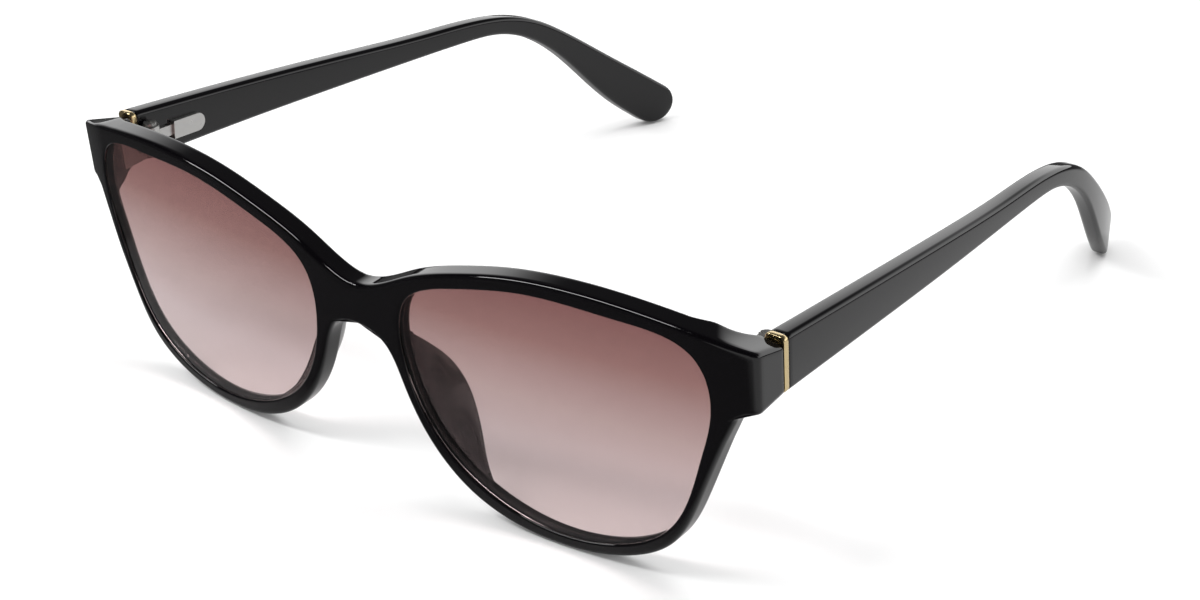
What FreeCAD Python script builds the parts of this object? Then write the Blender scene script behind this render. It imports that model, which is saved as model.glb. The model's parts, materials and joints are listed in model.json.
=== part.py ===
import os
import math
import FreeCAD
import Part
from FreeCAD import Vector

# Cat eye sunglasses, millimetres.  X runs across the face (wearer's left is +X),
# Y runs back along the temples, Z is up.  Everything is drawn with the front
# upright and then tipped into the pose the glasses take standing on a table.

# Sizes stamped on such a frame
lens_width = 53.0
lens_height = 41.2
bridge_width = 17.0
temple_length = 145.0

# Front
front_radius = 356.0
front_thickness = 3.8
end_reach = 6.9
end_depth = 15.0
end_drop = 2.2
end_fall = 0.33
end_height = 10.1

# Lenses in their groove
lens_thickness = 1.9
lens_recess = 0.4
groove_depth = 0.6
lens_clearance = 0.05

# Nose pads
pad_width = 2.9
pad_reach = 5.6
pad_top = 13.5
pad_bottom = -12.5
pad_lean = 0.28

# Temples
temple_thickness = 3.4
temple_gap = 0.1
temple_slope = 7.1
trim_thickness = 1.1

# Core wire inside each temple
core_thickness = 1.0
core_height = 1.8
core_clearance = 0.04

# Spring hinge
pin_inset = 4.8
pin_setback = 2.6
hinge_rise = 3.7
knuckle_radius = 1.5
knuckle_height = 1.5
eye_height = 2.0
knuckle_gap = 0.05
screw_radius = 0.6
screw_head_radius = 1.1
screw_head_height = 0.6
screw_slot = 0.3
bore_clearance = 0.03
leaf_depth = 5.0
leaf_bite = 0.8
leaf_arm = 0.8
bar_width = 1.4
bar_height = 1.9
bar_length = 4.6
neck_length = 2.0
neck_width = 1.0
neck_height = 1.4
guide_radius = 0.4
guide_head_radius = 0.75
guide_head_length = 0.7
guide_thread = 1.5
housing_width = 2.4
housing_height = 3.2
housing_length = 7.0
housing_start = 5.2
housing_sink = 1.2
shoulder = 0.5
bar_travel = 0.6
spring_wire = 0.28
spring_turns = 5
spring_length = 3.0
slide_clearance = 0.05
pocket_clearance = 0.3
fit_clearance = 0.02

# Derived places
lens_centre_x = (bridge_width + lens_width) / 2
lens_centre_z = 7.6
end_width = lens_centre_x + lens_width / 2 + end_reach
end_top = lens_centre_z + lens_height / 2 - end_drop
end_bottom = end_top - end_height
hinge_height = end_bottom + hinge_rise
housing_end = pin_setback + housing_start + housing_length
pin_x = end_width - 0.4 - pin_inset
pin_y = end_depth + pin_setback
temple_start = end_depth + temple_gap
temple_inner = pin_inset - temple_thickness
X = Vector(1, 0, 0)
Y = Vector(0, 1, 0)
Z = Vector(0, 0, 1)


def box(x0, x1, y0, y1, z0, z1):
    return Part.makeBox(x1 - x0, y1 - y0, z1 - z0, Vector(x0, y0, z0))


def spline(points):
    curve = Part.BSplineCurve()
    curve.interpolate(points)
    return curve.toShape()


def arc(a, b, c):
    return Part.Arc(a, b, c).toShape()


def line(a, b):
    return Part.makeLine(a, b)


def face(edges):
    return Part.Face(Part.Wire(edges))


def at_xz(pairs, y=0.0):
    return [Vector(x, y, z) for x, z in pairs]


def both_sides(pairs):
    # Outline points from the middle outwards, repeated on the other side
    return [(-x, z) for x, z in reversed(pairs) if x > 0] + pairs


def spread(x):
    # A distance from the middle of a 53-17 front, carried to the present lens and bridge
    nose = bridge_width / 2
    if x < 8.5:
        return x * nose / 8.5
    if x < 61.5:
        return nose + (x - 8.5) * lens_width / 53.0
    return nose + lens_width + x - 61.5


def on_front(pairs):
    rise = lens_height / 41.2
    return [(spread(x), lens_centre_z + (z - lens_centre_z) * rise) for x, z in pairs]


# ---------------------------------------------------------------- front

# Brow line from the middle of the bridge out past the cat eye corner
brow = [(0, 19.6), (5, 20.9), (11, 23.9), (20, 27.0), (30, 29.2), (41, 29.9), (52, 29.2),
        (62, 27.8), (72, 26.4)]

# Rim from the bridge down round the lens and up to the endpiece
rim = [(0, 12.4), (4.6, 11.1), (8.1, 4.6), (12.3, -4.0), (18.5, -10.4), (27, -14.2),
       (36.5, -15.2), (46.5, -13.8), (54.6, -9.2), (59.0, -1.4), (62.3, 7.4), (65.2, 15.0)]

# Nose side of a pad where it meets the rim
pad_root = [(7.2, 12.6), (7.9, 7.6), (9.9, 2.4), (12.0, -1.8), (14.8, -5.8), (18.2, -9.3),
            (21.2, -11.4)]

# Lens shape as shares of its width and height about the lens centre
lens_shape = [(0.507, 0.21), (0.470, 0.392), (0.238, 0.474), (-0.03, 0.478), (-0.27, 0.416),
              (-0.462, 0.293), (-0.487, 0.03), (-0.36, -0.305), (-0.12, -0.478),
              (0.14, -0.491), (0.36, -0.35), (0.475, 0.0)]


def lens_outline(side, grow):
    width = lens_width + 2 * grow
    height = lens_height + 2 * grow
    points = [Vector(side * (lens_centre_x + u * width), 0, lens_centre_z + v * height)
              for u, v in lens_shape]
    curve = Part.BSplineCurve()
    curve.interpolate(points, PeriodicFlag=True)
    return Part.Face(Part.Wire(curve.toShape()))


def curved_layer(depth, thickness):
    # A layer of the front's curve, starting at a depth behind its face
    outer = Part.makeCylinder(front_radius - depth, 80, Vector(0, front_radius, -40), Z)
    inner = Part.makeCylinder(front_radius - depth - thickness, 80, Vector(0, front_radius, -40), Z)
    return outer.cut(inner).common(box(-90, 90, -5, 40, -40, 40))


def front_y(x):
    return front_radius - math.sqrt(front_radius ** 2 - x ** 2)


def back_y(x):
    inner = front_radius - front_thickness
    return front_radius - math.sqrt(inner ** 2 - x ** 2)


def plan_outline():
    # The front seen from above: a shallow bow whose ends turn back to the temples
    turn = end_width - 8.0
    root = end_width - 11.0
    corner_y = front_y(end_width) + 1.6
    inner = pin_x + temple_inner
    edges = []
    for side in (1, -1):
        corner = Vector(side * end_width, corner_y, 0)
        heel = Vector(side * (end_width - 0.4), end_depth, 0)
        toe = Vector(side * inner, end_depth, 0)
        start = Vector(side * turn, front_y(turn), 0)
        back = Vector(side * root, back_y(root), 0)
        mid = Vector(side * (end_width - 3.9), front_y(end_width - 3.9) + 0.35, 0)
        waist = Vector(side * (inner - 1.9), end_depth - 3.7, 0)
        edges.append(arc(start, mid, corner))
        edges.append(line(corner, heel))
        edges.append(line(heel, toe))
        edges.append(arc(toe, waist, back))
    left = Vector(-turn, front_y(turn), 0)
    right = Vector(turn, front_y(turn), 0)
    edges.append(arc(left, Vector(0, 0, 0), right))
    left = Vector(-root, back_y(root), 0)
    right = Vector(root, back_y(root), 0)
    edges.append(arc(left, Vector(0, front_thickness, 0), right))
    return face(Part.sortEdges(edges)[0])


def elevation_outline():
    upper = on_front(brow)
    lower = on_front(rim)
    edges = [spline(at_xz(both_sides(upper))), spline(at_xz(both_sides(lower)))]
    x_top, z_top = upper[-1]
    x_low, z_low = lower[-1]
    for side in (1, -1):
        a = Vector(side * x_top, 0, z_top)
        b = Vector(side * x_top, 0, end_bottom)
        c = Vector(side * (x_low + 0.9), 0, end_bottom)
        d = Vector(side * x_low, 0, z_low)
        edges += [line(a, b), line(b, c), line(c, d)]
    return face(Part.sortEdges(edges)[0])


def front_blank():
    plan = plan_outline()
    plan.translate(Vector(0, 0, -30))
    body = plan.extrude(Vector(0, 0, 80))
    elevation = elevation_outline()
    elevation.translate(Vector(0, -5, 0))
    body = body.common(elevation.extrude(Vector(0, 40, 0)))
    for side in (1, -1):
        body = body.cut(end_scoop(side))
    # Below the endpieces the rim keeps one thickness
    hollow = Part.makeCylinder(front_radius - front_thickness, 60,
                               Vector(0, front_radius, end_bottom - 60), Z)
    hollow = hollow.common(box(-90, 90, 0, 40, -40, end_bottom))
    return body.cut(hollow)


def end_scoop(side):
    # Lowers the top of each endpiece as it runs back to meet the temple
    start = front_y(end_width) + 1.6
    profile = [(end_width - 11.4, 31.0), (end_width - 8.6, 29.0), (end_width - 6.0, 27.3),
               (end_width - 2.4, end_top + 0.3), (end_width + 3.6, end_top - 0.4)]
    points = [Vector(side * x, start, z) for x, z in profile]
    low = spline(points)
    a = Vector(points[-1].x, start, 40)
    b = Vector(points[0].x, start, 40)
    cap = face([low, line(points[-1], a), line(a, b), line(b, points[0])])
    slope = Vector(0, 1, -end_fall)
    cap.translate(slope * -6)
    return cap.extrude(slope * 20)


def lens_opening(side):
    hole = lens_outline(side, 0)
    hole.translate(Vector(0, -5, 0))
    return hole.extrude(Vector(0, 30, 0))


def lens_slab(side, grow, depth, thickness):
    # A slice of the lens shape that follows the curve of the front
    outline = lens_outline(side, grow)
    outline.translate(Vector(0, -5, 0))
    prism = outline.extrude(Vector(0, 30, 0))
    return prism.common(curved_layer(depth, thickness))


def front_frame():
    body = front_blank()
    for side in (1, -1):
        body = body.cut(lens_opening(side))
        groove = lens_slab(side, groove_depth, lens_recess - lens_clearance,
                           lens_thickness + 2 * lens_clearance)
        body = body.cut(groove)
        body = body.cut(leaf_plate(side, fit_clearance))
    return body


def lens(side):
    return lens_slab(side, groove_depth - lens_clearance, lens_recess, lens_thickness)


def nose_pad(side):
    # A crescent glued along the nose side of the rim, deepest where the nose is widest
    middle = (pad_top + pad_bottom) / 2
    half = (pad_top - pad_bottom) / 2
    root = on_front(pad_root)
    near = [Vector(side * x, 0, z) for x, z in root]
    far = [Vector(side * (x + pad_width * 0.95), 0, z + pad_width * 0.35) for x, z in root]
    strip = face([spline(near), line(near[-1], far[-1]), spline(far), line(far[0], near[0])])
    lean = Vector(side * pad_lean, 1, 0)
    body = strip.extrude(lean * 14)
    seat = front_y(12) + front_thickness
    depth = pad_reach + 1.2
    radius = (half ** 2 + depth ** 2) / (2 * depth)
    crest = Part.makeCylinder(radius, 60, Vector(-30, seat + depth - 1.2 - radius, middle), X)
    body = body.common(crest)
    glue = Part.makeCylinder(front_radius - front_thickness, 80,
                             Vector(0, front_radius, -40), Z)
    return body.common(glue)


# ---------------------------------------------------------------- spring hinge
# Drawn with the pin at the origin, +X towards the outer face of the temple,
# +Y back along the temple, then set in place for each side.

def along_temple(shape):
    turned = shape.copy()
    turned.rotate(Vector(0, 0, 0), X, -temple_slope)
    return turned


def at_hinge(shape, side):
    placed = shape.copy()
    placed.translate(Vector(pin_x, pin_y, hinge_height))
    return on_side(placed, side)


def on_side(shape, side):
    if side > 0:
        return shape
    return shape.mirror(Vector(0, 0, 0), X)


def stack_height():
    return eye_height + 2 * knuckle_height + 2 * knuckle_gap


def leaf_plate(side, grow):
    # The flat part of the front leaf, let into the back of the endpiece
    half = stack_height() / 2
    plate = box(-knuckle_radius + 0.7 - grow, temple_inner + leaf_bite + grow,
                -pin_setback - leaf_depth - grow, -pin_setback - temple_gap + grow,
                -half - grow, half + grow)
    return at_hinge(plate, side)


def front_leaf(side):
    half = stack_height() / 2
    body = leaf_plate(1, 0)
    for low in (-half, eye_height / 2 + knuckle_gap):
        knuckle = Part.makeCylinder(knuckle_radius, knuckle_height, Vector(0, 0, low), Z)
        arm = box(-knuckle_radius + 0.7, leaf_arm, -pin_setback - 0.5, 0, low,
                  low + knuckle_height)
        body = body.fuse(at_hinge(knuckle.fuse(arm), 1))
    bore = Part.makeCylinder(screw_radius + bore_clearance, 3 * half, Vector(0, 0, -1.5 * half), Z)
    body = body.cut(at_hinge(bore, 1)).removeSplitter()
    return on_side(body, side)


def hinge_screw(side):
    half = stack_height() / 2
    shank = Part.makeCylinder(screw_radius, 2 * half + 0.1, Vector(0, 0, -half), Z)
    head = Part.makeCylinder(screw_head_radius, screw_head_height, Vector(0, 0, half + 0.05), Z)
    slot = box(-2, 2, -screw_slot / 2, screw_slot / 2, half + screw_head_height - 0.15, half + 2)
    return at_hinge(shank.fuse(head).cut(slot).removeSplitter(), side)


def hinge_slider(side):
    # Eye, neck and square bar, drilled for the guide pin
    centre = housing_centre()
    eye = Part.makeCylinder(knuckle_radius, eye_height, Vector(0, 0, -eye_height / 2), Z)
    bar_start = neck_length
    neck = box(centre - bar_width / 2 - 0.2, centre - bar_width / 2 - 0.2 + neck_width,
               0.7, bar_start + 0.2, -neck_height / 2, neck_height / 2)
    bar = box(centre - bar_width / 2, centre + bar_width / 2, bar_start,
              bar_start + bar_length, -bar_height / 2, bar_height / 2)
    body = eye.fuse(along_temple(neck)).fuse(along_temple(bar))
    bore = Part.makeCylinder(screw_radius + bore_clearance, 6, Vector(0, 0, -3), Z)
    body = body.cut(bore)
    thread = Part.makeCylinder(guide_radius + fit_clearance, guide_thread + fit_clearance,
                               Vector(centre, bar_end() - guide_thread - fit_clearance, 0), Y)
    body = body.cut(along_temple(thread))
    return at_hinge(body.removeSplitter(), side)


def bar_end():
    return neck_length + bar_length


def housing_centre():
    return temple_inner - (housing_width - housing_sink) + housing_width / 2


def shoulder_end():
    return bar_end() + bar_travel + shoulder


def guide_pin(side):
    # Threaded into the bar; its head holds the far end of the spring
    centre = housing_centre()
    start = bar_end() - guide_thread
    stop = shoulder_end() + spring_length
    shank = Part.makeCylinder(guide_radius, stop - start + 0.1, Vector(centre, start, 0), Y)
    head = Part.makeCylinder(guide_head_radius, guide_head_length, Vector(centre, stop, 0), Y)
    return at_hinge(along_temple(shank.fuse(head).removeSplitter()), side)


def hinge_spring(side):
    # Coil drawn as short straight lengths round the guide pin
    centre = housing_centre()
    radius = guide_radius + 0.07 + spring_wire / 2
    rise = spring_length - spring_wire - 0.04
    steps = 12
    points = []
    for k in range(spring_turns * steps + 1):
        angle = 2 * math.pi * k / steps
        height = rise * k / (spring_turns * steps)
        points.append(Vector(radius * math.cos(angle), radius * math.sin(angle), height))
    heading = (points[1] - points[0]).normalize()
    out = Vector(1, 0, 0) - heading * heading.x
    out.normalize()
    up = heading.cross(out)
    ring = []
    for k in range(6):
        angle = math.pi * k / 3
        ring.append(points[0] + (out * math.cos(angle) + up * math.sin(angle)) * spring_wire / 2)
    section = Part.makePolygon(ring + [ring[0]])
    coil = Part.makePolygon(points).makePipeShell([section], True, False, 1)
    coil.rotate(Vector(0, 0, 0), X, -90)
    coil.translate(Vector(centre, shoulder_end() + spring_wire / 2 + 0.02, 0))
    return at_hinge(along_temple(coil), side)


def housing_block(grow):
    centre = housing_centre()
    half = housing_height / 2 + grow
    x0 = centre - housing_width / 2 - grow
    start = housing_start - grow
    stop = housing_start + housing_length - housing_height / 2
    block = box(x0, x0 + housing_width + 2 * grow, start, stop, -half, half)
    nose = Part.makeCylinder(half, housing_width + 2 * grow, Vector(x0, stop, 0), X)
    return block.fuse(nose).removeSplitter()


def spring_housing(side):
    centre = housing_centre()
    body = housing_block(0)
    half_x = bar_width / 2 + slide_clearance
    half_z = bar_height / 2 + slide_clearance
    slot = box(centre - half_x, centre + half_x, housing_start - 1, bar_end() + bar_travel,
               -half_z, half_z)
    hole = Part.makeCylinder(guide_radius + slide_clearance, 4,
                             Vector(centre, bar_end(), 0), Y)
    bore = Part.makeCylinder(guide_head_radius + slide_clearance,
                             spring_length + guide_head_length + 0.3,
                             Vector(centre, shoulder_end(), 0), Y)
    body = body.cut(slot).cut(hole).cut(bore)
    return at_hinge(along_temple(body.removeSplitter()), side)


def hinge_pocket():
    # Everything cut from the temple so the hinge can sit and turn
    half = stack_height() / 2 + screw_head_height + pocket_clearance
    turn = knuckle_radius + pocket_clearance
    pocket = Part.makeCylinder(turn, 2 * half, Vector(0, 0, -half), Z)
    pocket = pocket.fuse(box(-5, temple_inner + 0.4, -4, 0, -half, half))
    centre = housing_centre()
    slot = box(-3, centre + bar_width / 2 + pocket_clearance, 0.5, housing_start + 0.1,
               -bar_height / 2 - pocket_clearance, bar_height / 2 + pocket_clearance)
    pocket = pocket.fuse(along_temple(slot))
    pocket = pocket.fuse(along_temple(housing_block(fit_clearance)))
    return at_hinge(pocket, 1)


# ---------------------------------------------------------------- temples

# Outer face from above (back from the endpiece, in from its outer face)
temple_plan = [(0, 0.0), (22, 0.8), (42, 1.8), (62, 3.1), (82, 4.6), (97, 6.0), (111, 8.6),
               (122, 11.8), (134, 16.4)]

# Upper and lower edges from the side (back from the endpiece, height)
temple_upper = [(-1, 25.1), (24, 21.1), (48, 17.0), (70, 13.3), (84, 11.1), (91, 9.3),
                (98, 6.3), (106, 0.8), (116, -7.6), (125, -15.3), (129.3, -19.1)]
temple_lower = [(-1, 15.8), (24, 13.6), (48, 11.2), (68, 9.2), (80, 7.9), (88, 6.5),
                (94, 4.1), (100, 0.1), (105.5, -5.2), (112, -13.1), (118, -20.0),
                (123.4, -25.1)]
temple_tip = (129.8, -25.4)

# Middle of the core wire from the side
core_path = [(17, 18.0), (35, 15.6), (58, 12.6), (80, 9.8), (90, 7.7), (97, 4.6), (104.5, -0.9),
             (114, -10.2), (120, -16.0)]


def station(back):
    # Past the hinge the temple stretches with its length
    if back <= housing_end:
        return end_depth + back
    stretch = (temple_length - housing_end) / (145.0 - housing_end)
    return end_depth + housing_end + (back - housing_end) * stretch


def along(pairs):
    return [(station(back), inset) for back, inset in pairs]


def along_side(pairs):
    # Heights drawn for a hinge 19.6 up follow the hinge
    return [(station(back), z + hinge_height - 19.6) for back, z in pairs]


def temple_plan_strip(inset, thickness):
    # A strip seen from above, running the length of the temple
    outer = end_width - 0.4 - inset
    far = [Vector(outer - dx, y, 0) for y, dx in along(temple_plan)]
    near = [Vector(outer - thickness - dx, y, 0) for y, dx in along(temple_plan)]
    return face([spline(far), line(far[-1], near[-1]), spline(near), line(near[0], far[0])])


def temple_side_face():
    upper = [Vector(0, y, z) for y, z in along_side(temple_upper)]
    lower = [Vector(0, y, z) for y, z in along_side(temple_lower)]
    tip = [Vector(0, y, z) for y, z in along_side([temple_tip])][0]
    return face([spline(upper), arc(upper[-1], tip, lower[-1]), spline(lower),
                 line(lower[0], upper[0])])


def temple_blank():
    plan = temple_plan_strip(0, temple_thickness)
    plan.translate(Vector(0, 0, -50))
    body = plan.extrude(Vector(0, 0, 100))
    side = temple_side_face()
    side.translate(Vector(20, 0, 0))
    return body.common(side.extrude(Vector(70, 0, 0)))


def core_wire(grow):
    # Flat wire down the middle of the temple, from the hinge towards the tip
    thickness = core_thickness + 2 * grow
    inset = (temple_thickness - thickness) / 2
    plan = temple_plan_strip(inset + 0.5, thickness)
    plan.translate(Vector(0, 0, -50))
    body = plan.extrude(Vector(0, 0, 100))
    half = core_height / 2 + grow
    high = [Vector(20, y, z + half) for y, z in along_side(core_path)]
    low = [Vector(20, y, z - half) for y, z in along_side(core_path)]
    side = face([spline(high), line(high[-1], low[-1]), spline(low), line(low[0], high[0])])
    body = body.common(side.extrude(Vector(70, 0, 0)))
    return body


def temple_parts(side):
    blank = temple_blank().cut(hinge_pocket())
    trim_end = temple_start + trim_thickness
    trim = blank.common(box(50, 80, temple_start, trim_end, -10, 40))
    arm = blank.cut(box(40, 80, 0, trim_end, -10, 40))
    arm = arm.cut(core_wire(core_clearance))
    return on_side(arm, side), on_side(trim, side), on_side(core_wire(0), side)


# ---------------------------------------------------------------- resting pose

def lowest(shapes, tilt):
    low = 1000.0
    for shape in shapes:
        points, _ = shape.tessellate(0.05)
        low = min(low, min(p.y * math.sin(tilt) + p.z * math.cos(tilt) for p in points))
    return low


def rest_tilt(front, temple):
    # The turn about X that puts rims and temple tips on one level
    a = 0.0
    b = 0.2
    for _ in range(30):
        tilt = (a + b) / 2
        if lowest([temple], tilt) < lowest([front], tilt):
            a = tilt
        else:
            b = tilt
    return (a + b) / 2


def build():
    parts = {"front_frame": front_frame()}
    for side, name in ((1, "left"), (-1, "right")):
        arm, trim, core = temple_parts(side)
        parts[name + "_lens"] = lens(side)
        parts[name + "_nose_pad"] = nose_pad(side)
        parts[name + "_front_leaf"] = front_leaf(side)
        parts[name + "_hinge_screw"] = hinge_screw(side)
        parts[name + "_hinge_slider"] = hinge_slider(side)
        parts[name + "_guide_pin"] = guide_pin(side)
        parts[name + "_hinge_spring"] = hinge_spring(side)
        parts[name + "_spring_housing"] = spring_housing(side)
        parts[name + "_temple"] = arm
        parts[name + "_end_trim"] = trim
        parts[name + "_core_wire"] = core
    return parts


def main():
    os.makedirs("parts", exist_ok=True)
    parts = build()
    tilt = rest_tilt(parts["front_frame"], parts["left_temple"])
    floor = lowest([parts["front_frame"], parts["left_temple"]], tilt)
    for name, shape in parts.items():
        placed = shape.copy()
        placed.rotate(Vector(0, 0, 0), X, math.degrees(tilt))
        placed.translate(Vector(0, 0, -floor))
        parts[name] = placed
    y_low = min(shape.BoundBox.YMin for shape in parts.values())
    y_high = max(shape.BoundBox.YMax for shape in parts.values())
    for name, shape in parts.items():
        shape.translate(Vector(0, -(y_low + y_high) / 2, 0))
        shape.exportStep("parts/" + name + ".step")
        print(name, len(shape.Solids), shape.isValid(), round(shape.Volume, 2))
    pin = Vector(pin_x, pin_y, hinge_height)
    turn = FreeCAD.Rotation(X, math.degrees(tilt))
    pin = turn.multVec(pin) + Vector(0, -(y_low + y_high) / 2, -floor)
    print("tilt", math.degrees(tilt), "pin", pin, "axis", turn.multVec(Z))
    print("slide", turn.multVec(FreeCAD.Rotation(X, -temple_slope).multVec(Y)))


main()
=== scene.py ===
import json
import math

import bmesh
import bpy
import numpy as np
from mathutils import Matrix, Vector


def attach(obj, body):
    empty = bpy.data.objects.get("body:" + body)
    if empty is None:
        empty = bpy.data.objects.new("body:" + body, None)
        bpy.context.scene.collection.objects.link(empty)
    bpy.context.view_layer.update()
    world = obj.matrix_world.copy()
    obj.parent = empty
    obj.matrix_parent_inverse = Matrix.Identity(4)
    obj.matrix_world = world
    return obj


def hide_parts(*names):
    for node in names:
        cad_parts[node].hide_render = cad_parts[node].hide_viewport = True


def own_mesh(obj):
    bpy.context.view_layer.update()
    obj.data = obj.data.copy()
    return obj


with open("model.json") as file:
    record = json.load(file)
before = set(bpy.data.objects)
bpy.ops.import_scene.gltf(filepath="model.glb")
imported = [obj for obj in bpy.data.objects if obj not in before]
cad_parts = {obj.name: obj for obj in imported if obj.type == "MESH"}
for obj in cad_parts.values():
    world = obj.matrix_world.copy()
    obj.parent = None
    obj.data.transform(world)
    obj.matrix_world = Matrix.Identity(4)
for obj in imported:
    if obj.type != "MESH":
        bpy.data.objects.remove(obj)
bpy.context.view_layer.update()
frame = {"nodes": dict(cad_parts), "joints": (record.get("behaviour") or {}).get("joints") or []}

scene = bpy.context.scene
mm = 0.001
joinDistance = 0.000002  # metres

# The part was drawn with its front upright, then tipped to stand on a table.
# The hinge axis gives that tilt, and the hinge itself gives the place.
foldJoint = next(j for j in frame["joints"] if j["name"] == "left_fold")
hingeAt = np.array(foldJoint["pos_m"]) / mm
hingeAxis = np.array(foldJoint["axis"])
tilt = math.atan2(-hingeAxis[1], hingeAxis[2])

front = {
    "radius": 356.0, "thickness": 3.8, "halfWidth": 68.4, "endDepth": 15.0,
    "endBottom": 15.9, "edgeRound": 0.85, "backRound": 0.5, "openingRound": 0.4,
    "wrapRoot": 11.0, "wrapToe": 3.8, "endBend": 1.6, "endFall": 0.33, "scoopBlend": 0.25,
    "scoop": [(-11.4, 31.0), (-8.6, 29.0), (-6.0, 27.3), (-2.4, 26.3), (3.6, 25.6)],
    "brow": [(0, 19.6), (5, 20.9), (11, 23.9), (20, 27.0), (30, 29.2), (41, 29.9),
             (52, 29.2), (62, 27.8), (72, 26.4)],
    "rim": [(0, 12.4), (4.6, 11.1), (8.1, 4.6), (12.3, -4.0), (18.5, -10.4), (27, -14.2),
            (36.5, -15.2), (46.5, -13.8), (54.6, -9.2), (59.0, -1.4), (62.3, 7.4),
            (65.2, 15.0)],
}
lens = {
    "centreX": 35.0, "centreZ": 7.6, "width": 53.0, "height": 41.2, "recess": 0.4,
    "thickness": 1.9, "groove": 0.55,
    "shape": [(0.507, 0.21), (0.470, 0.392), (0.238, 0.474), (-0.03, 0.478),
              (-0.27, 0.416), (-0.462, 0.293), (-0.487, 0.03), (-0.36, -0.305),
              (-0.12, -0.478), (0.14, -0.491), (0.36, -0.35), (0.475, 0.0)],
}
hinge = {"x": 63.2, "y": 17.6, "z": 19.6}


def toRow(points):  # from the upright drawing in mm to the row frame in metres
    p = np.array(points, float).reshape(-1, 3)
    c, s = math.cos(tilt), math.sin(tilt)
    turned = np.column_stack([p[:, 0], p[:, 1] * c - p[:, 2] * s, p[:, 1] * s + p[:, 2] * c])
    h = (hinge["x"], hinge["y"], hinge["z"])
    pin = np.array([h[0], h[1] * c - h[2] * s, h[1] * s + h[2] * c])
    return (turned + hingeAt - pin) * mm


def splineThrough(points, count, closed=False):
    # Cubic spline over chord length: bending is continuous at every point and dies away at
    # the ends, or runs on round a closed outline
    # Cubic spline by chord length: second derivatives from the tridiagonal continuity equations
    p = np.array(points, float)
    if closed:
        p = np.vstack([p, p[:1]])
    step = np.linalg.norm(np.diff(p, axis=0), axis=1)
    t = np.concatenate([[0], np.cumsum(step)])
    n = len(p)
    a = np.zeros((n, n))
    b = np.zeros((n, p.shape[1]))
    for i in range(1, n - 1):
        a[i, i - 1:i + 2] = step[i - 1], 2 * (step[i - 1] + step[i]), step[i]
        b[i] = 6 * ((p[i + 1] - p[i]) / step[i] - (p[i] - p[i - 1]) / step[i - 1])
    if closed:
        a[0, 0], a[0, -1] = 1, -1
        a[-1, 0], a[-1, 1] = 2 * step[0], step[0]
        a[-1, -2], a[-1, -1] = step[-1], 2 * step[-1]
        b[-1] = 6 * ((p[1] - p[0]) / step[0] - (p[-1] - p[-2]) / step[-1])
    else:
        a[0, 0] = a[-1, -1] = 1
    m = np.linalg.solve(a, b)
    s = np.linspace(0, t[-1], count, endpoint=not closed)
    k = np.clip(np.searchsorted(t, s, side="right") - 1, 0, n - 2)
    h = step[k][:, None]
    u = (s - t[k])[:, None] / h
    v = 1 - u
    return v * p[k] + u * p[k + 1] + h * h / 6 * ((v ** 3 - v) * m[k] + (u ** 3 - u) * m[k + 1])


def smooth(x, low, high):  # 0 below low, 1 above high, an S-shaped rise between them
    u = np.clip((x - low) / (high - low), 0, 1)
    return u * u * (3 - 2 * u)


def mirrored(points):
    return [(-x, z) for x, z in reversed(points) if x > 0] + points


def closedMesh(name, verts, faces):
    # A closed shell with doubled points joined and every face turned outwards
    mesh = bpy.data.meshes.new(name)
    mesh.from_pydata(verts.tolist(), [], faces)
    shell = bmesh.new()
    shell.from_mesh(mesh)
    bmesh.ops.remove_doubles(shell, verts=shell.verts, dist=joinDistance)
    bmesh.ops.recalc_face_normals(shell, faces=shell.faces)
    shell.to_mesh(mesh)
    shell.free()
    mesh.update()
    obj = bpy.data.objects.new(name, mesh)
    scene.collection.objects.link(obj)
    return obj


def meshObject(name, verts, faces, material, body, node):
    obj = closedMesh(name, verts, faces)
    mesh = obj.data
    mesh.polygons.foreach_set("use_smooth", [True] * len(mesh.polygons))
    mesh.materials.append(material)
    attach(obj, body)
    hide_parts(node)
    return obj


def ringFaces(rings, around, closeRings=False, closeAround=True, flip=False):
    # Quads between successive rings of equally many points
    faces = []
    last = rings if closeRings else rings - 1
    turn = around if closeAround else around - 1
    for i in range(last):
        a, b = i * around, ((i + 1) % rings) * around
        for j in range(turn):
            k = (j + 1) % around
            quad = (a + j, a + k, b + k, b + j)
            faces.append(quad[::-1] if flip else quad)
    return faces


def linear(hexColour):
    values = [int(hexColour[i:i + 2], 16) / 255 for i in (1, 3, 5)]
    return [v / 12.92 if v <= 0.04045 else ((v + 0.055) / 1.055) ** 2.4 for v in values] + [1]


def addNode(tree, kind, settings=None, links=None):
    node = tree.nodes.new(kind)
    for key, value in (settings or {}).items():
        if key in node.inputs:
            node.inputs[key].default_value = value
        else:
            setattr(node, key, value)
    for key, source in (links or {}).items():
        tree.links.new(source, node.inputs[key])
    return node


def newMaterial(name):
    material = bpy.data.materials.new(name)
    material.use_nodes = True
    material.node_tree.nodes.clear()
    return material, material.node_tree


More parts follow.
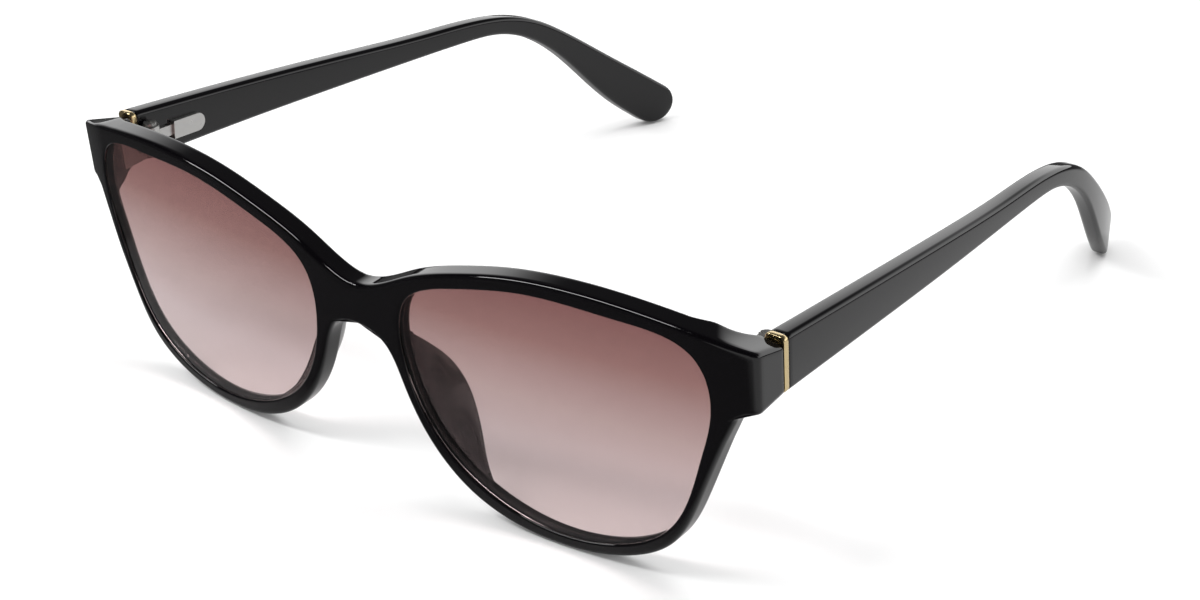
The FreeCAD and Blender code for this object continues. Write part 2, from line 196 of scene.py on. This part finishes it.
def polishedMaterial(name, colour, roughness, ripple, metal=0.0, markSize=1.11):
    # Handling marks of markSize mm vary the roughness; a faint waviness six times as wide
    # bends the reflections. Both are drawn coarser than real, so that they show.
    material, tree = newMaterial(name)
    grain = 1000 / markSize
    place = addNode(tree, "ShaderNodeTexCoord")
    wave = addNode(tree, "ShaderNodeTexNoise", {"Scale": grain / 6, "Detail": 2.0},
                   {"Vector": place.outputs["Object"]})
    marks = addNode(tree, "ShaderNodeTexNoise", {"Scale": grain, "Detail": 4.0},
                    {"Vector": place.outputs["Object"]})
    rough = addNode(tree, "ShaderNodeMapRange",
                    {"From Min": 0.3, "From Max": 0.7, "To Min": roughness * 0.8,
                     "To Max": roughness * 1.3}, {"Value": marks.outputs["Fac"]})
    bump = addNode(tree, "ShaderNodeBump", {"Strength": ripple, "Distance": 0.0001},
                   {"Height": wave.outputs["Fac"]})
    shader = addNode(tree, "ShaderNodeBsdfPrincipled",
                     {"Base Color": linear(colour), "Metallic": metal},
                     {"Roughness": rough.outputs["Result"], "Normal": bump.outputs["Normal"]})
    if not metal:
        shader.inputs["IOR"].default_value = acetateIor
    addNode(tree, "ShaderNodeOutputMaterial", None, {"Surface": shader.outputs["BSDF"]})
    return material


acetateIor = 1.49

# Tumble-polished cellulose acetate: deep black with mirror-like highlights
acetate = polishedMaterial("polishedBlackAcetate", "#070608", 0.05, 0.03)
# The same acetate in dark brown, polished by hand: slightly softer highlights
padPlastic = polishedMaterial("polishedPadAcetate", "#161214", 0.08, 0.05)
# Nickel-plated nickel silver: bright, with blurred reflections
nickel = polishedMaterial("polishedNickel", "#c9c8c6", 0.34, 0.08, metal=1.0)
# Turned stainless steel: greyer and duller than the plate
steel = polishedMaterial("brushedSteel", "#a9a8a6", 0.35, 0.15, metal=1.0, markSize=0.4)
# Thin pale gold plate: warm and bright
gold = polishedMaterial("paleGoldPlate", "#e6cf9e", 0.22, 0.06, metal=1.0)


def lensMaterial():
    # Tinted nylon: rose brown at the brow, fading to pale mauve at the bottom
    material, tree = newMaterial("gradientTintedLens")
    place = addNode(tree, "ShaderNodeTexCoord")
    parts = addNode(tree, "ShaderNodeSeparateXYZ", None, {0: place.outputs["Object"]})
    level = addNode(tree, "ShaderNodeMapRange",
                    {"From Min": 0.002, "From Max": 0.043, "To Min": 0.0, "To Max": 1.0},
                    {"Value": parts.outputs["Z"]})
    tint = addNode(tree, "ShaderNodeValToRGB", None, {"Fac": level.outputs["Result"]})
    stops = tint.color_ramp
    stops.elements[0].color = linear("#cabab9")
    stops.elements[1].color = linear("#76514f")
    for spot, colour in ((0.3, "#c1b0b0"), (0.55, "#ab9492"), (0.8, "#896764")):
        stops.elements.new(spot).color = linear(colour)
    glass = addNode(tree, "ShaderNodeBsdfPrincipled",
                    {"Roughness": 0.0, "IOR": 1.5, "Transmission Weight": 1.0,
                     "Specular IOR Level": 0.25}, {"Base Color": tint.outputs["Color"]})
    clear = addNode(tree, "ShaderNodeBsdfTransparent", {"Color": (0.95, 0.94, 0.94, 1)})
    ray = addNode(tree, "ShaderNodeLightPath")
    mix = addNode(tree, "ShaderNodeMixShader", None,
                  {0: ray.outputs["Is Shadow Ray"], 1: glass.outputs["BSDF"],
                   2: clear.outputs["BSDF"]})
    addNode(tree, "ShaderNodeOutputMaterial", None, {"Surface": mix.outputs["Shader"]})
    return material


lensTint = lensMaterial()
print("materials made")


def frontY(x):  # depth of a circular bow: radius less the other leg of its triangle
    return front["radius"] - np.sqrt(front["radius"] ** 2 - np.asarray(x) ** 2)


def backY(x, z):
    # The bow moved back by the thickness; at the endpieces it runs on to their full depth
    inner = front["radius"] - front["thickness"]
    bow = front["radius"] - np.sqrt(inner ** 2 - np.asarray(x) ** 2)
    root, toe = front["halfWidth"] - front["wrapRoot"], front["halfWidth"] - front["wrapToe"]
    u = np.clip((x - root) / (toe - root), 0, 1)
    start = front["radius"] - math.sqrt(inner ** 2 - root ** 2)
    wrap = start + (front["endDepth"] - start) * (0.42 * u + 0.58 * u ** 3)
    deep = np.where(x > root, wrap, bow)
    share = smooth(z, front["endBottom"] - 1.8, front["endBottom"] + 0.2)
    return bow + (deep - bow) * share


def faceY(x):
    # The bow of the front, bent a little further back at the endpieces
    extra = np.clip((x - front["halfWidth"] + 8.0) / 8.0, 0, 1)
    return frontY(x) + front["endBend"] * extra ** 1.5


def ceiling(x, y):
    # The top of an endpiece falls as it runs back
    half = front["halfWidth"]
    top = splineThrough([(half + dx, z) for dx, z in front["scoop"]], 200)
    toe = frontY(half) + front["endBend"]
    return np.interp(x, top[:, 0], top[:, 1], left=60.0) - front["endFall"] * (y - toe)


def distanceTo(points, line):  # shortest distance from each point to any stretch of a line
    a, b = line[:-1], line[1:]
    ab = b - a
    best = np.full(len(points), 1e9)
    for i in range(len(a)):
        w = points - a[i]
        t = np.clip((w @ ab[i]) / (ab[i] @ ab[i] + 1e-12), 0, 1)
        best = np.minimum(best, np.hypot(*(w - t[:, None] * ab[i]).T))
    return best


def roundOver(d, r):  # how far a quarter circle of radius r has dropped at distance d
    d = np.clip(d, 0, r)
    return r - np.sqrt(np.maximum(r * r - (r - d) ** 2, 0))


def lensLoop(grow, count):  # the lens outline as shares of its width and height
    w, h = lens["width"] + 2 * grow, lens["height"] + 2 * grow
    pts = [(lens["centreX"] + u * w, lens["centreZ"] + v * h) for u, v in lens["shape"]]
    return splineThrough(pts, count, closed=True)


def cornerArc(before, corner, after, r):
    # Points of a small arc that rounds a corner of the outline
    a, c, b = (np.array(v, float) for v in (before, corner, after))
    p = c + (a - c) / np.linalg.norm(a - c) * r
    q = c + (b - c) / np.linalg.norm(b - c) * r
    t = np.linspace(0, 1, 7)[:, None]
    return (1 - t) ** 2 * p + 2 * t * (1 - t) * c + t * t * q


def frontOutline():  # half the outline, from the bridge underside round to its top
    half = front["halfWidth"]
    brow = splineThrough(mirrored(front["brow"]), 1200)
    rim = splineThrough(mirrored(front["rim"]), 1200)
    brow = brow[(brow[:, 0] >= 0) & (brow[:, 0] < half)]
    rim = rim[rim[:, 0] >= 0]
    top = np.array([half, np.interp(half, brow[:, 0], brow[:, 1])])
    low = np.array([half, front["endBottom"]])
    joint = np.array([rim[-1, 0] + 0.9, front["endBottom"]])
    lowArc = cornerArc(joint, low, top, 0.7)
    topArc = cornerArc(low, top, brow[-60], 0.9)
    jointArc = cornerArc(rim[-30], joint - [0.5, 0.3], low, 1.2)
    keep = brow[brow[:, 0] < half - 0.9]
    return np.vstack([[0, rim[0, 1]], rim[:-30], jointArc, lowArc, topArc, keep[::-1],
                      [0, keep[0, 1]]])


def makeFront():
    # Rings round each lens opening: rays from the lens centre meet the opening and the outer
    # edge, and rows cross from one to the other in front, down the wall, back and into the
    # groove. Depth is the bow plus a quarter circle at each edge.
    outline = frontOutline()
    both = np.vstack([outline, outline[::-1] * [-1, 1]])
    hole = lensLoop(0, 600)
    centre = np.array([lens["centreX"], lens["centreZ"]])
    loop = np.vstack([outline, outline[:1]])
    special = [math.atan2(p[1] - centre[1], p[0] - centre[0]) for p in
               (outline[0], outline[-1])]
    angles = np.unique(np.concatenate([np.linspace(-math.pi, math.pi, 641)[:-1], special]))
    rays = np.column_stack([np.cos(angles), np.sin(angles)])

    def reach(ray, line):
        a, d = line[:-1] - centre, np.diff(line, axis=0)
        cross = ray[0] * d[:, 1] - ray[1] * d[:, 0]
        cross = np.where(np.abs(cross) < 1e-12, 1e-12, cross)
        dist = (a[:, 0] * d[:, 1] - a[:, 1] * d[:, 0]) / cross
        part = (a[:, 0] * ray[1] - a[:, 1] * ray[0]) / cross
        good = (part >= -1e-6) & (part <= 1 + 1e-6) & (dist > 0)
        return dist[good].max()

    holeLoop = np.vstack([hole, hole[:1]])
    inner = np.array([centre + r * reach(r, holeLoop) for r in rays])
    outer = np.array([centre + r * reach(r, loop) for r in rays])
    outer[:, 0] = np.maximum(outer[:, 0], 0)
    outer[outer[:, 0] < 1e-4, 0] = 0
    length = np.linalg.norm(outer - inner, axis=1)
    way = (outer - inner) / length[:, None]
    turn = np.radians([0, 18, 36, 54, 72, 90])
    rIn, rOut, rBack = front["openingRound"], front["edgeRound"], front["backRound"]

    def crossing(nearRound, farRound):
        # Steps across the rim, close together at both rounded edges
        near = nearRound * (1 - np.cos(turn))
        far = farRound * (1 - np.cos(turn))
        fit = np.minimum(1, length / (nearRound + farRound + 0.05))[:, None]
        first, last = near * fit, length[:, None] - far[::-1] * fit
        mid = first[:, -1:] + (last[:, :1] - first[:, -1:]) * np.linspace(0, 1, 10)[1:-1]
        return np.hstack([first, mid, last])

    rows = []

    def addRow(xz, y):
        rows.append(np.column_stack([xz[:, 0], y, xz[:, 1]]))

    steps = crossing(rIn, rOut)
    for k in range(steps.shape[1]):
        xz = inner + way * steps[:, k:k + 1]
        dOut = distanceTo(xz, both) if k else np.full(len(xz), 9.0)
        dIn = distanceTo(xz, holeLoop) if k < 9 else np.full(len(xz), 9.0)
        dIn = dIn if k else np.zeros(len(xz))
        if k == steps.shape[1] - 1:
            dOut = np.where(xz[:, 0] > 0, 0, dOut)
        addRow(xz, faceY(xz[:, 0]) + roundOver(dIn, rIn) + roundOver(dOut, rOut))
    wallTop = rows[-1][:, 1]
    dBack = np.where(outer[:, 0] > 0, 0, distanceTo(outer, both))
    wallEnd = backY(outer[:, 0], outer[:, 1]) - roundOver(dBack, rBack)
    wallStart = len(rows) - 1
    for u in np.linspace(0, 1, 9)[1:-1]:
        addRow(outer, wallTop + (wallEnd - wallTop) * u)
    steps = crossing(rBack, rBack)
    wallStop = len(rows)
    for k in range(steps.shape[1] - 1, -1, -1):
        xz = inner + way * steps[:, k:k + 1]
        dOut = distanceTo(xz, both)
        dIn = distanceTo(xz, holeLoop)
        if k == steps.shape[1] - 1:
            dOut = np.where(xz[:, 0] > 0, 0, dOut)
        if k == 0:
            dIn = dIn * 0
        addRow(xz, backY(xz[:, 0], xz[:, 1]) - roundOver(dIn, rBack) - roundOver(dOut, rBack))
    seat = faceY(inner[:, 0]) + lens["recess"]
    deep = inner + way * lens["groove"]
    addRow(inner, seat + lens["thickness"])
    addRow(deep, seat + lens["thickness"])
    addRow(deep, seat)
    addRow(inner, seat)
    grid = np.array(rows)
    count, around = grid.shape[:2]
    x, y, z = grid[..., 0], grid[..., 1], grid[..., 2]
    browLine = splineThrough(mirrored(front["brow"]), 600)
    brow = np.interp(x, browLine[:, 0], browLine[:, 1])
    above = brow - ceiling(x, y)
    over = (above + np.sqrt(above ** 2 + front["scoopBlend"])) / 2 * smooth(x, 56.0, 59.0)
    grid[..., 2] = z - over * smooth(z, brow - 7.0, brow)
    taper = np.clip((y - 8.4) / 6.6, 0, 1) * smooth(x, 62, 68)
    grid[..., 0] = x - 0.4 * taper
    flat = grid.reshape(-1, 3)
    half = [q for i, q in enumerate(ringFaces(count, around, closeRings=True))
            if not (wallStart <= i // around < wallStop
                    and outer[i % around, 0] == 0
                    and outer[(i % around + 1) % around, 0] == 0)]
    verts = np.vstack([flat, flat * [-1, 1, 1]])
    n = len(flat)
    faces = half + [tuple(n + i for i in q[::-1]) for q in half]
    meshObject("frontFrameFinish", toRow(verts), faces, acetate, "front", "front_frame")


makeFront()
print("front frame made")


def makeLens(side, sign):
    # Disc as rings shrinking towards the centre, front and back, with a wall between
    edge = lensLoop(lens["groove"] - 0.05, 360)
    centre = np.array([lens["centreX"], lens["centreZ"]])
    rings = []
    for back in (False, True):
        shares = np.linspace(0.02, 1, 40)
        for s in (shares[::-1] if back else shares):
            xz = centre + (edge - centre) * s
            y = frontY(xz[:, 0]) + lens["recess"] + (lens["thickness"] if back else 0)
            rings.append(np.column_stack([xz[:, 0] * sign, y, xz[:, 1]]))
    verts = np.vstack(rings)
    faces = ringFaces(len(rings), 360, closeRings=False, flip=sign < 0)
    first, last = list(range(360)), [len(verts) - 360 + i for i in range(360)]
    faces += [tuple(first[::-1] if sign > 0 else first), tuple(last if sign > 0 else last[::-1])]
    meshObject(side + "LensFinish", toRow(verts), faces, lensTint, "front", side + "_lens")


for side, sign in (("left", 1), ("right", -1)):
    makeLens(side, sign)
print("lenses made")


pad = {
    "root": [(7.2, 12.6), (7.9, 7.6), (9.9, 2.4), (12.0, -1.8), (14.8, -5.8), (18.2, -9.3),
             (21.2, -11.4)],
    "width": 2.9, "reach": 5.6, "lean": 0.28, "sink": 0.6, "top": 13.5, "bottom": -12.5,
}


def makePad(side, sign):
    # A D-shaped bead whose depth swells and dies away along the nose side of the rim
    root = splineThrough(pad["root"], 120)
    run = np.gradient(root, axis=0)
    away = np.column_stack([-run[:, 1], run[:, 0]])
    away /= np.linalg.norm(away, axis=1)[:, None]
    middle, spread = (pad["top"] + pad["bottom"]) / 2, (pad["top"] - pad["bottom"]) / 2
    crest = (pad["reach"] + 1.2) * (1 - ((root[:, 1] - middle) / spread) ** 2) - 1.2
    swell = np.clip(crest / pad["reach"], 0, 1)
    turn = np.linspace(0, math.pi, 33)
    rings = []
    for i in range(len(root)):
        depth = pad["reach"] * swell[i] + pad["sink"]
        half = pad["width"] / 2 * (0.45 + 0.55 * swell[i])
        base = backY(root[i, 0], root[i, 1]) - pad["sink"]
        out = depth * np.sin(turn) ** 0.8
        shift = pad["width"] / 2 - half * np.cos(turn) + pad["lean"] * out
        xz = root[i] + away[i] * shift[:, None]
        rings.append(np.column_stack([sign * xz[:, 0], base + out, xz[:, 1]]))
    verts = np.vstack(rings)
    faces = ringFaces(len(rings), 33, closeRings=False, flip=sign < 0)
    n = len(verts)
    faces += [tuple(range(33)), tuple(range(n - 1, n - 34, -1))]
    meshObject(side + "PadFinish", toRow(verts), faces, padPlastic, "front",
               side + "_nose_pad")


for side, sign in (("left", 1), ("right", -1)):
    makePad(side, sign)
print("nose pads made")


temple = {
    "outer": 68.0, "start": 15.1, "thickness": 3.4, "edgeRound": 0.9, "trim": 1.1,
    "plan": [(0, 0), (22, 0.8), (42, 1.8), (62, 3.1), (82, 4.6), (97, 6.0), (111, 8.6),
             (122, 11.8), (134, 16.4)],
    "upper": [(-1, 25.1), (24, 21.1), (48, 17.0), (70, 13.3), (84, 11.1), (91, 9.3),
              (98, 6.3), (106, 0.8), (116, -7.6), (125, -15.3), (129.3, -19.1)],
    "lower": [(-1, 15.8), (24, 13.6), (48, 11.2), (68, 9.2), (80, 7.9), (88, 6.5),
              (94, 4.1), (100, 0.1), (105.5, -5.2), (112, -13.1), (118, -20.0),
              (123.4, -25.1)],
    "tip": (129.8, -25.4),
}


def templeSpan(back, key):
    line = splineThrough(temple[key], 600)
    return np.interp(back, line[:, 0], line[:, 1])


def templeRing(centre, up, height, shift, width=None, r=None):
    # Rounded rectangle across the temple: its height lies along up, its width along X
    w = (width or temple["thickness"]) / 2
    h = height / 2
    r = min(r if r is not None else temple["edgeRound"], w * 0.98, h * 0.98)
    corners = np.repeat([(1, 1), (-1, 1), (-1, -1), (1, -1)], 7, axis=0)
    a = np.radians(np.concatenate([np.linspace(q, q + 90, 7) for q in (0, 90, 180, 270)]))
    ring = corners * [w - r, h - r] + r * np.column_stack([np.cos(a), np.sin(a)])
    x = shift + ring[:, 0]
    return np.column_stack([x, centre[0] + ring[:, 1] * up[0], centre[1] + ring[:, 1] * up[1]])


def templeStations():
    # Matching places on the upper and lower edges, running square across the temple
    upper = splineThrough(temple["upper"], 900)
    lower = splineThrough(temple["lower"], 900)
    share = np.linspace(0, 1, 260)

    def along(path):
        run = np.concatenate([[0], np.cumsum(np.linalg.norm(np.diff(path, axis=0), axis=1))])
        return np.column_stack([np.interp(share * run[-1], run, path[:, i]) for i in (0, 1)])

    return along(upper), along(lower)


def makeTemple(side, sign):
    upper, lower = templeStations()
    plan = splineThrough(temple["plan"], 600)
    first = temple["start"] + temple["trim"] - front["endDepth"]
    rings = []

    def addRing(a, b, width=None, r=None):
        middle, reach = (a + b) / 2, a - b
        height = np.linalg.norm(reach)
        up = reach / height
        backs = middle[0]
        inset = np.interp(backs, plan[:, 0], plan[:, 1])
        shift = temple["outer"] - inset - temple["thickness"] / 2
        ring = templeRing(middle, up, height, shift, width, r)
        lean = np.interp(ring[:, 1], plan[:, 0], plan[:, 1]) - inset
        ring[:, 0] -= lean
        ring[:, 1] += front["endDepth"]
        rings.append(ring * [sign, 1, 1])

    def upright(back):
        return (np.array([back, templeSpan(back, "upper")]),
                np.array([back, templeSpan(back, "lower")]))

    # The hinge end stands upright; further back the rings turn square to the temple
    for a in np.radians([0, 30, 60, 90]):
        top, low = upright(first + 0.25 * (1 - math.cos(a)))
        pull = 0.25 * (1 - math.sin(a))
        addRing(top - [0, pull], low + [0, pull], temple["thickness"] - 2 * pull)
    for i in range(len(upper)):
        square = smooth(i / len(upper), 0.02, 0.2)
        back = (upper[i, 0] + lower[i, 0]) / 2
        top, low = upright(back)
        a = top + (upper[i] - top) * square
        b = low + (lower[i] - low) * square
        if (a[0] + b[0]) / 2 > first + 0.6:
            addRing(a, b)
    # Round tip: the last section shrinks along an arc through the tip point
    a, b = upper[-1], lower[-1]
    middle, reach = (a + b) / 2, a - b
    height = np.linalg.norm(reach)
    ahead = np.array([-reach[1], reach[0]]) / height
    ahead = ahead if ahead @ (np.array(temple["tip"]) - middle) > 0 else -ahead
    far = (np.array(temple["tip"]) - middle) @ ahead
    for t in np.radians(np.linspace(8, 89, 14)):
        go = ahead * far * math.sin(t)
        width = temple["thickness"] * (0.35 + 0.65 * math.cos(t) ** 0.5)
        addRing(middle + go + reach / 2 * math.cos(t), middle + go - reach / 2 * math.cos(t),
                width)
    verts = np.vstack(rings)
    around = len(rings[0])
    faces = ringFaces(len(rings), around, flip=sign < 0)
    n = len(verts)
    ends = [tuple(range(around)), tuple(range(n - 1, n - around - 1, -1))]
    faces += [e[::-1] for e in ends] if sign > 0 else ends
    return meshObject(side + "TempleFinish", toRow(verts), faces, acetate, side + "_arm",
                      side + "_temple")


def makeTrim(side, sign):
    plan = splineThrough(temple["plan"], 600)
    rings = []
    size = temple["trim"]
    start = temple["start"] - front["endDepth"]
    for back, pull in ((0, 0.12), (0.1, 0.03), (0.2, 0), (size - 0.2, 0), (size - 0.1, 0.03),
                       (size, 0.12)):
        b = start + back
        top, low = templeSpan(b, "upper") - pull, templeSpan(b, "lower") + pull
        inset = np.interp(b, plan[:, 0], plan[:, 1])
        shift = temple["outer"] - inset - temple["thickness"] / 2
        ring = templeRing(np.array([b + front["endDepth"], (top + low) / 2]), (0, 1), top - low,
                          shift, temple["thickness"] - 2 * pull)
        rings.append(ring * [sign, 1, 1])
    verts = np.vstack(rings)
    around = len(rings[0])
    faces = ringFaces(len(rings), around, flip=sign < 0)
    n = len(verts)
    ends = [tuple(range(around)), tuple(range(n - 1, n - around - 1, -1))]
    faces += [e[::-1] for e in ends] if sign > 0 else ends
    return meshObject(side + "TrimFinish", toRow(verts), faces, gold, side + "_arm",
                      side + "_end_trim")


# Room for the spring hinge, measured from its pin in mm
room = {
    "turn": 1.8, "half": 2.95, "inner": -5.0, "outer": 1.8, "front": -4.0, "slope": 7.1,
    "slot": [(-3.0, 1.4), (0.5, 5.3), (-1.25, 1.25)],
    "housing": [(0.18, 2.62), (5.18, 10.6), (-1.62, 1.62)], "noseAt": 10.6, "nose": 1.62,
}


def boxPoints(xs, ys, zs, slope=0.0):
    s = math.radians(slope)
    points = [(x, y, z) for z in zs for y in ys for x in xs]
    return [(x, y * math.cos(s) + z * math.sin(s), z * math.cos(s) - y * math.sin(s))
            for x, y, z in points]


boxFaces = [(0, 2, 3, 1), (4, 5, 7, 6), (0, 1, 5, 4), (2, 6, 7, 3), (0, 4, 6, 2), (1, 3, 7, 5)]


def discPoints(r, start, end, axis, slope=0.0, count=48):
    # Two circles of a cylinder: axis 2 stands along the pin, axis 0 lies across the temple
    s = math.radians(slope)
    a = np.tile(np.arange(count) / count * 2 * math.pi, 2)
    level = np.repeat([start, end], count)
    u, v = r * np.cos(a), r * np.sin(a)
    x, y, z = (u, v, level) if axis == 2 else (level, room["noseAt"] + u, v)
    return np.column_stack([x, y * math.cos(s) + z * math.sin(s),
                            z * math.cos(s) - y * math.sin(s)])


def discFaces(count=48):
    ends = [tuple(range(count))[::-1], tuple(range(count, 2 * count))]
    return ends + ringFaces(2, count)


def cutRoom(obj, sign):
    cutters = [
        (discPoints(room["turn"], -room["half"], room["half"], 2), discFaces()),
        (boxPoints((room["inner"], room["outer"]), (room["front"], 0),
                   (-room["half"], room["half"])), boxFaces),
        (boxPoints(*room["slot"], slope=room["slope"]), boxFaces),
        (boxPoints(*room["housing"], slope=room["slope"]), boxFaces),
        (discPoints(room["nose"], *room["housing"][0], 0, slope=room["slope"]), discFaces()),
    ]
    for points, faces in cutters:
        at = [((x + hinge["x"]) * sign, y + hinge["y"], z + hinge["z"]) for x, y, z in points]
        cutter = closedMesh("cutter", toRow(at), faces)
        cut = obj.modifiers.new("room", "BOOLEAN")
        cut.operation = "DIFFERENCE"
        cut.solver = "EXACT"
        cut.object = cutter
        bpy.context.view_layer.update()
        done = bpy.data.meshes.new_from_object(obj.evaluated_get(
            bpy.context.evaluated_depsgraph_get()))
        obj.modifiers.clear()
        obj.data = done
        bpy.data.objects.remove(cutter)
    obj.data.set_sharp_from_angle(angle=math.radians(40))


for side, sign in (("left", 1), ("right", -1)):
    cutRoom(makeTemple(side, sign), sign)
    cutRoom(makeTrim(side, sign), sign)
print("temples and trims made")


spring = {
    "x": 1.4, "start": 7.72, "length": 2.96, "coil": 0.61, "wire": 0.14, "turns": 5,
    "travel": 0.74,
}


def makeSpring(side, sign):
    # Tube round a helix whose axis runs back along the temple from the housing's shoulder
    a = np.linspace(0, 2 * math.pi * spring["turns"], 60 * spring["turns"] + 1)[:, None]
    b = (np.arange(12) / 12 * 2 * math.pi)[None, :]
    reach = spring["coil"] + spring["wire"] * np.cos(b)
    rise = spring["length"] - 2 * spring["wire"]
    x = spring["x"] + reach * np.cos(a)
    z = reach * np.sin(a)
    y = spring["start"] + spring["wire"] * (1 + np.sin(b)) + rise * a / a[-1]
    s = math.radians(room["slope"])
    verts = np.stack([(x + hinge["x"]) * sign, y * math.cos(s) + z * math.sin(s) + hinge["y"],
                      z * math.cos(s) - y * math.sin(s) + hinge["z"]], axis=2).reshape(-1, 3)
    n = len(verts)
    faces = ringFaces(len(a), 12) + [tuple(range(12)), tuple(range(n - 1, n - 13, -1))]
    obj = meshObject(side + "SpringFinish", toRow(verts), faces, steel, side + "_arm",
                     side + "_hinge_spring")
    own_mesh(obj)


for side, sign in (("left", 1), ("right", -1)):
    makeSpring(side, sign)
print("springs made")


for side in ("left", "right"):
    for part, metal in (("front_leaf", nickel), ("hinge_screw", steel), ("hinge_slider", nickel),
                        ("guide_pin", steel),
                        ("spring_housing", nickel), ("core_wire", steel)):
        node = side + "_" + part
        for slot in frame["nodes"][node].material_slots:
            slot.material = metal
print("metal parts dressed")


def shineOnly(tree, ray):  # 1 for a mirrored ray, 0 for one seen directly or through a lens
    return addNode(tree, "ShaderNodeMath", {"operation": "SUBTRACT", "use_clamp": True},
                   {0: ray.outputs["Is Glossy Ray"],
                    1: ray.outputs["Is Transmission Ray"]}).outputs[0]


def mapRange(tree, value, low, high, first, last):
    return addNode(tree, "ShaderNodeMapRange", {"From Min": low, "From Max": high,
                   "To Min": first, "To Max": last}, {"Value": value}).outputs["Result"]


def mathNode(tree, operation, one, other):
    return addNode(tree, "ShaderNodeMath", {"operation": operation},
                   {0: one, 1: other}).outputs[0]


def makeFloor():
    # White table with a painted reflection: what shines sees it dim in front of the rims and
    # pale behind them, though the lit table itself is evenly white
    material, tree = newMaterial("whiteTablePaintedReflection")
    place = addNode(tree, "ShaderNodeTexCoord")
    parts = addNode(tree, "ShaderNodeSeparateXYZ", None, {0: place.outputs["Object"]})
    x, y = parts.outputs["X"], parts.outputs["Y"]
    # painted reflection: a dim patch in front of the rims and paler ground behind and to the
    # sides, seen only by mirrored rays
    behind = mapRange(tree, y, -0.082, -0.062, 0, 1)
    right = mapRange(tree, x, 0.08, 0.11, 0, 1)
    left = mapRange(tree, x, -0.1, -0.075, 0, 1)
    near = mapRange(tree, y, 0.12, 0.2, 1, 0)
    level = mathNode(tree, "MINIMUM", mathNode(tree, "MAXIMUM", behind, right), left)
    level = mapRange(tree, mathNode(tree, "MULTIPLY", level, near), 0, 1, 0.07, 0.55)
    ray = addNode(tree, "ShaderNodeLightPath")
    # mirrored rays get the painted dim-and-pale reflection; rays seen directly or through a lens
    # get the plain white table
    colour = addNode(tree, "ShaderNodeMix", {"data_type": "FLOAT"},
                     {0: shineOnly(tree, ray), 3: level})
    colour.inputs[2].default_value = 0.92
    plain = addNode(tree, "ShaderNodeBsdfDiffuse", None, {"Color": colour.outputs[0]})
    addNode(tree, "ShaderNodeOutputMaterial", None, {"Surface": plain.outputs["BSDF"]})
    bpy.ops.mesh.primitive_plane_add(size=6, location=(0, 0, -0.0002))
    floor = bpy.context.object
    floor.name = "tableTop"
    floor.data.materials.append(material)


makeFloor()

camera = {
    "place": (216.49, -287.19, 184.89), "forward": (-0.55378, 0.69822, -0.45367),
    "up": (-0.27510, 0.36033, 0.89134), "lens": 67.6,
}


def makeCamera():
    data = bpy.data.cameras.new("camera")
    obj = bpy.data.objects.new("camera", data)
    scene.collection.objects.link(obj)
    f = Vector(camera["forward"]).normalized()
    u = Vector(camera["up"]).normalized()
    r = f.cross(u).normalized()
    u = r.cross(f)
    m = Matrix(((r.x, u.x, -f.x), (r.y, u.y, -f.y), (r.z, u.z, -f.z))).to_4x4()
    m.translation = Vector(camera["place"]) * mm
    obj.matrix_world = m
    data.lens = camera["lens"]
    data.sensor_width = 36
    data.clip_start = 0.01
    scene.camera = obj


makeCamera()


def areaLight(name, place, target, size, power, along=(1, 0, 0)):
    data = bpy.data.lights.new(name, "AREA")
    data.shape = "RECTANGLE"
    data.size, data.size_y = size
    data.energy = power
    obj = bpy.data.objects.new(name, data)
    scene.collection.objects.link(obj)
    back = (Vector(place) - Vector(target)).normalized()
    side = (Vector(along) - back * back.dot(Vector(along))).normalized()
    turn = Matrix((side, back.cross(side), back)).transposed().to_4x4()
    turn.translation = Vector(place)
    obj.matrix_world = turn
    return obj


areaLight("keySoftbox", (-0.32, -0.42, 0.6), (0, 0, 0.02), (0.62, 0.1), 2.6,
          along=(0.93, -0.12, 0.35))
fill = areaLight("topSoftbox", (0.1, 0.25, 0.8), (0, 0, 0.02), (0.6, 0.4), 2.6)
fill.visible_glossy = False


def makeWorld():
    # White room; what shines sees it pale along the back horizon and dark overhead
    world = bpy.data.worlds.new("whiteRoom")
    scene.world = world
    world.use_nodes = True
    tree = world.node_tree
    tree.nodes.clear()
    place = addNode(tree, "ShaderNodeTexCoord")
    way = addNode(tree, "ShaderNodeSeparateXYZ", None, {0: place.outputs["Generated"]})
    low = addNode(tree, "ShaderNodeMapRange",
                  {"From Min": 0.25, "From Max": 0.55, "To Min": 1.5, "To Max": 0.06,
                   "interpolation_type": "SMOOTHSTEP"}, {"Value": way.outputs["Z"]})
    behind = addNode(tree, "ShaderNodeMapRange",
                     {"From Min": 0.0, "From Max": 0.4, "To Min": 0.04, "To Max": 1.0},
                     {"Value": way.outputs["Y"]})
    glow = addNode(tree, "ShaderNodeMath", {"operation": "MULTIPLY"},
                   {0: low.outputs["Result"], 1: behind.outputs["Result"]})
    ray = addNode(tree, "ShaderNodeLightPath")
    seen = addNode(tree, "ShaderNodeBackground", {"Color": (1, 1, 1, 1), "Strength": 1.0})
    dim = addNode(tree, "ShaderNodeBackground", {"Color": (1, 1, 1, 1), "Strength": 0.78})
    shine = addNode(tree, "ShaderNodeBackground", {"Color": (1, 1, 1, 1)},
                    {"Strength": glow.outputs[0]})
    mix = addNode(tree, "ShaderNodeMixShader", None,
                  {0: ray.outputs["Is Camera Ray"], 1: dim.outputs["Background"],
                   2: seen.outputs["Background"]})
    mix = addNode(tree, "ShaderNodeMixShader", None,
                  {0: shineOnly(tree, ray), 1: mix.outputs["Shader"],
                   2: shine.outputs["Background"]})
    addNode(tree, "ShaderNodeOutputWorld", None, {"Surface": mix.outputs["Shader"]})


makeWorld()

scene.view_settings.view_transform = "Standard"
